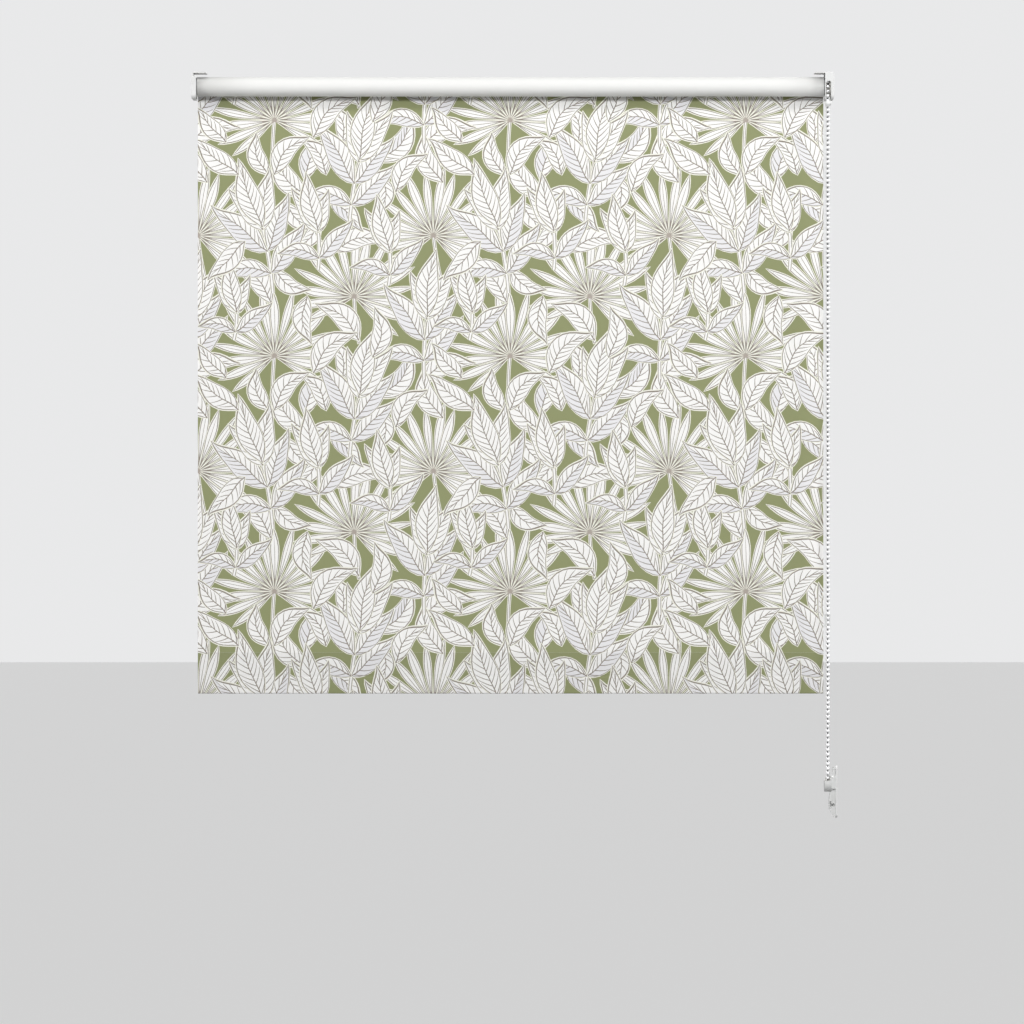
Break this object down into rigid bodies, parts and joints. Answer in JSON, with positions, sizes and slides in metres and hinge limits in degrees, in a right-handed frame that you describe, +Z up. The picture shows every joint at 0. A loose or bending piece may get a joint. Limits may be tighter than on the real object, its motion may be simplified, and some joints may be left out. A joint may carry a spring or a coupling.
{
  "type": "roller blind",
  "caption": "Chain-operated roller blind for a window recess: printed fabric on a tube between two ceiling brackets, with a clutch, bead chain, weighted hem and chain safety device.",
  "frame": {"origin": "middle of the four ceiling screw holes of the two brackets, on the head of the recess", "axes": "+X along the roller towards the chain end, -Y towards the room, +Z up out of the top faces of the brackets"},
  "size_m": [0.8238, 0.037, 0.9509],
  "materials": {
    "printed_fabric": "woven polyester coated on the back, leaf print in white and taupe on sage green",
    "fabric_reverse": "white coated reverse of the same fabric",
    "tape": "matt",
    "white_plastic": "satin moulded white",
    "wheel_nylon": "smooth natural nylon",
    "clutch_nylon": "smooth grey nylon",
    "clear_plastic": "glossy translucent white",
    "bracket_steel": "white powder coat",
    "plated_steel": "bright zinc",
    "spring_steel": "drawn wire",
    "tube_aluminium": "mill finish extrusion",
    "bead_metal": "bright nickel-plated beads"
  },
  "bodies": {
    "root": {"chain_bracket": "bracket_steel", "chain_bracket_cover": "white_plastic", "clutch_spindle": "clutch_nylon", "clutch_chain_guard": "white_plastic", "clutch_end_washer": "plated_steel", "clutch_retaining_screw": "plated_steel", "idle_bearing_bush": "wheel_nylon", "idle_bracket": "bracket_steel", "idle_bracket_cover": "white_plastic", "fabric_drop": "printed_fabric", "bead_chain": "bead_metal", "safety_back": "white_plastic", "safety_cover": "white_plastic", "safety_pin": "plated_steel"},
    "roller": {"roller_tube": "tube_aluminium", "fabric_tape": "tape", "wound_fabric": "fabric_reverse", "chain_wheel": "wheel_nylon", "clutch_crown": "clutch_nylon", "clutch_wrap_springs": "spring_steel", "idle_end_plug": "clutch_nylon", "idle_spring": "spring_steel"},
    "idle_pin": {"idle_pin": "plated_steel"},
    "hem": {"hem_pocket": "printed_fabric", "hem_bar": "tube_aluminium", "hem_cap_left": "white_plastic", "hem_cap_right": "white_plastic"},
    "chain_stop": {"chain_stop": "clear_plastic"},
    "chain_joiner": {"chain_joiner": "clear_plastic"},
    "safety_pulley": {"safety_pulley": "wheel_nylon"}
  },
  "joints": [
    {"name": "roller_turn", "type": "hinge", "parent": "root", "child": "roller", "pos_m": [0.4, 0, -0.0182], "axis": [1, 0, 0], "range_deg": [0, 3240]},
    {"name": "hem_rise", "type": "slide", "parent": "root", "child": "hem", "axis": [0, 0, 1], "range_m": [0, 0.7126], "deforming": ["fabric_drop"]},
    {"name": "stop_travel", "type": "slide", "parent": "root", "child": "chain_stop", "axis": [0, 0.0053, -1], "range_m": [0, 0.6556]},
    {"name": "joiner_travel", "type": "slide", "parent": "root", "child": "chain_joiner", "axis": [0, 0.0053, 1], "range_m": [0, 0.6556]},
    {"name": "pulley_turn", "type": "hinge", "parent": "root", "child": "safety_pulley", "pos_m": [0.4048, 0, -0.90713], "axis": [1, 0, 0], "range_deg": [0, 5432.5]},
    {"name": "pin_retract", "type": "slide", "parent": "roller", "child": "idle_pin", "axis": [1, 0, 0], "range_m": [0, 0.007], "stiffness_N_per_m": 900, "springref_m": -0.008, "deforming": ["idle_spring"]}
  ],
  "couplings": [
    {"joint": "hem_rise", "follows": "roller_turn", "m_per_rad": 0.0126},
    {"joint": "stop_travel", "follows": "roller_turn", "m_per_rad": 0.011591},
    {"joint": "joiner_travel", "follows": "roller_turn", "m_per_rad": 0.011591},
    {"joint": "pulley_turn", "follows": "roller_turn", "ratio": 1.6764}
  ]
}
